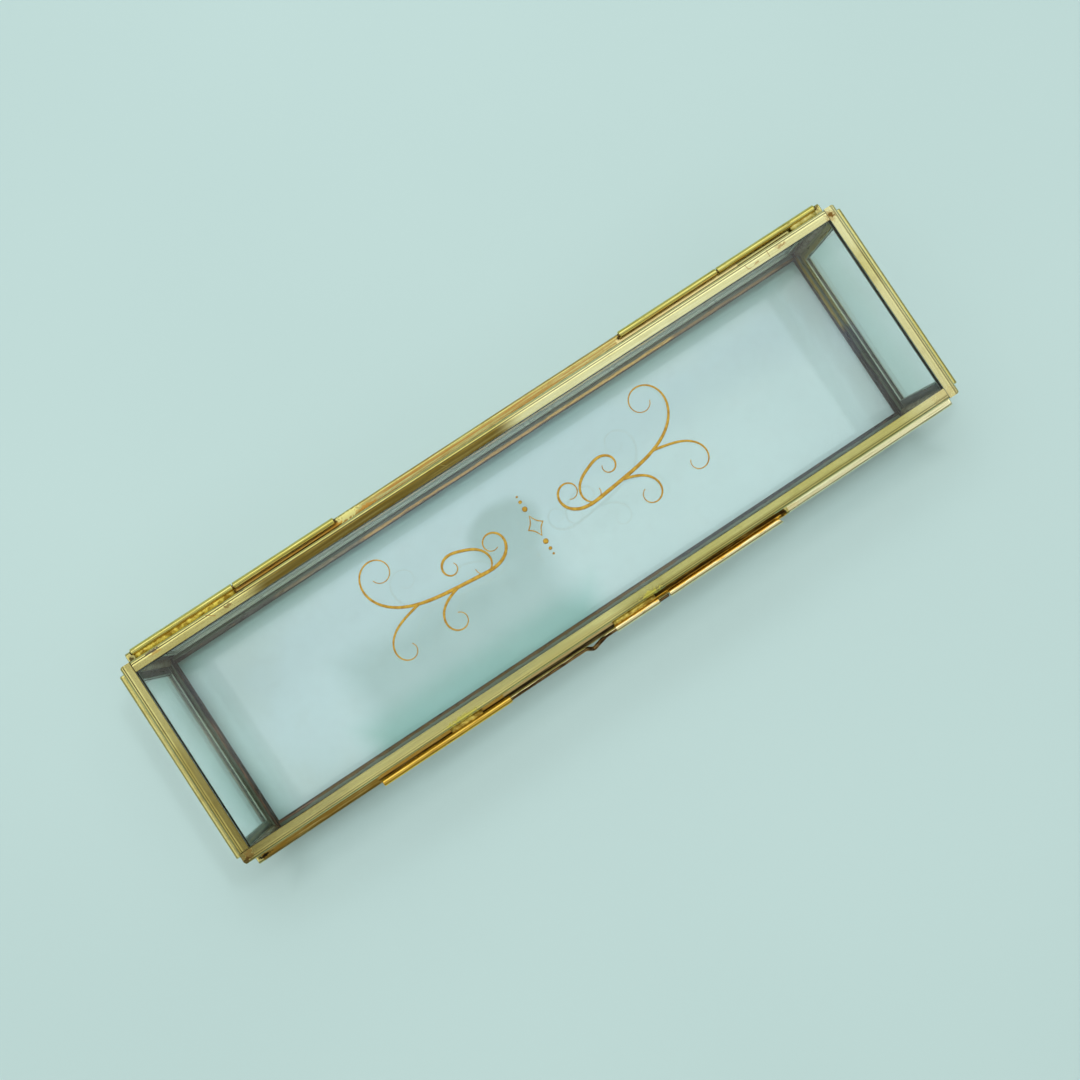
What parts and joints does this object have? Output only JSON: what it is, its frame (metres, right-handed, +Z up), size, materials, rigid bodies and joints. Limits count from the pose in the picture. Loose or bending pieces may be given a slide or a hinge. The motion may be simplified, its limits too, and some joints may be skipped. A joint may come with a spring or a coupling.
{
  "type": "glass casket box",
  "caption": "Long low clear glass box edged with folded brass channel, with a lid on tube hinges at the back and a wire slide bolt in front.",
  "frame": {"origin": "middle of the resting plane under the base panel", "axes": "+Z up, +X to the right along the length, +Y to the back, where the hinges are"},
  "size_m": [0.228, 0.0672, 0.0486],
  "materials": {
    "clear_glass": "clear polished",
    "channel_brass": "satin, lightly tarnished",
    "tube_brass": "satin, orange-gold",
    "solder": "dark patina over soft solder",
    "wire": "drawn wire, dulled"
  },
  "bodies": {
    "body": {"keeper_tube": "tube_brass", "base_glass": "clear_glass", "base_front_rail": "channel_brass", "base_back_rail": "channel_brass", "base_left_rail": "channel_brass", "base_right_rail": "channel_brass", "front_glass": "clear_glass", "front_top_rail": "channel_brass", "front_bottom_rail": "channel_brass", "front_left_stile": "channel_brass", "front_right_stile": "channel_brass", "back_glass": "clear_glass", "back_top_rail": "channel_brass", "back_bottom_rail": "channel_brass", "back_left_stile": "channel_brass", "back_right_stile": "channel_brass", "left_glass": "clear_glass", "left_top_rail": "channel_brass", "left_bottom_rail": "channel_brass", "left_front_stile": "channel_brass", "left_back_stile": "channel_brass", "right_glass": "clear_glass", "right_top_rail": "channel_brass", "right_bottom_rail": "channel_brass", "right_front_stile": "channel_brass", "right_back_stile": "channel_brass", "seam_front_left": "solder", "seam_front_right": "solder", "seam_back_left": "solder", "seam_back_right": "solder", "base_seams": "solder", "body_knuckle_left": "tube_brass", "body_knuckle_right": "tube_brass", "hinge_pin_left": "wire", "hinge_pin_right": "wire"},
    "lid": {"lid_glass": "clear_glass", "lid_front_rail": "channel_brass", "lid_back_rail": "channel_brass", "lid_left_rail": "channel_brass", "lid_right_rail": "channel_brass", "lid_knuckle_left": "tube_brass", "lid_knuckle_right": "tube_brass", "bolt_guide_long": "tube_brass", "bolt_guide_short": "tube_brass"},
    "bolt": {"slide_bolt": "wire"}
  },
  "joints": [
    {"name": "lid_hinge", "type": "hinge", "parent": "body", "child": "lid", "pos_m": [0, 0.0317, 0.0464], "axis": [-1, 0, 0], "range_deg": [0, 110]},
    {"name": "bolt_slide", "type": "slide", "parent": "lid", "child": "bolt", "axis": [1, 0, 0], "range_m": [-0.0229, 0.00285]}
  ]
}
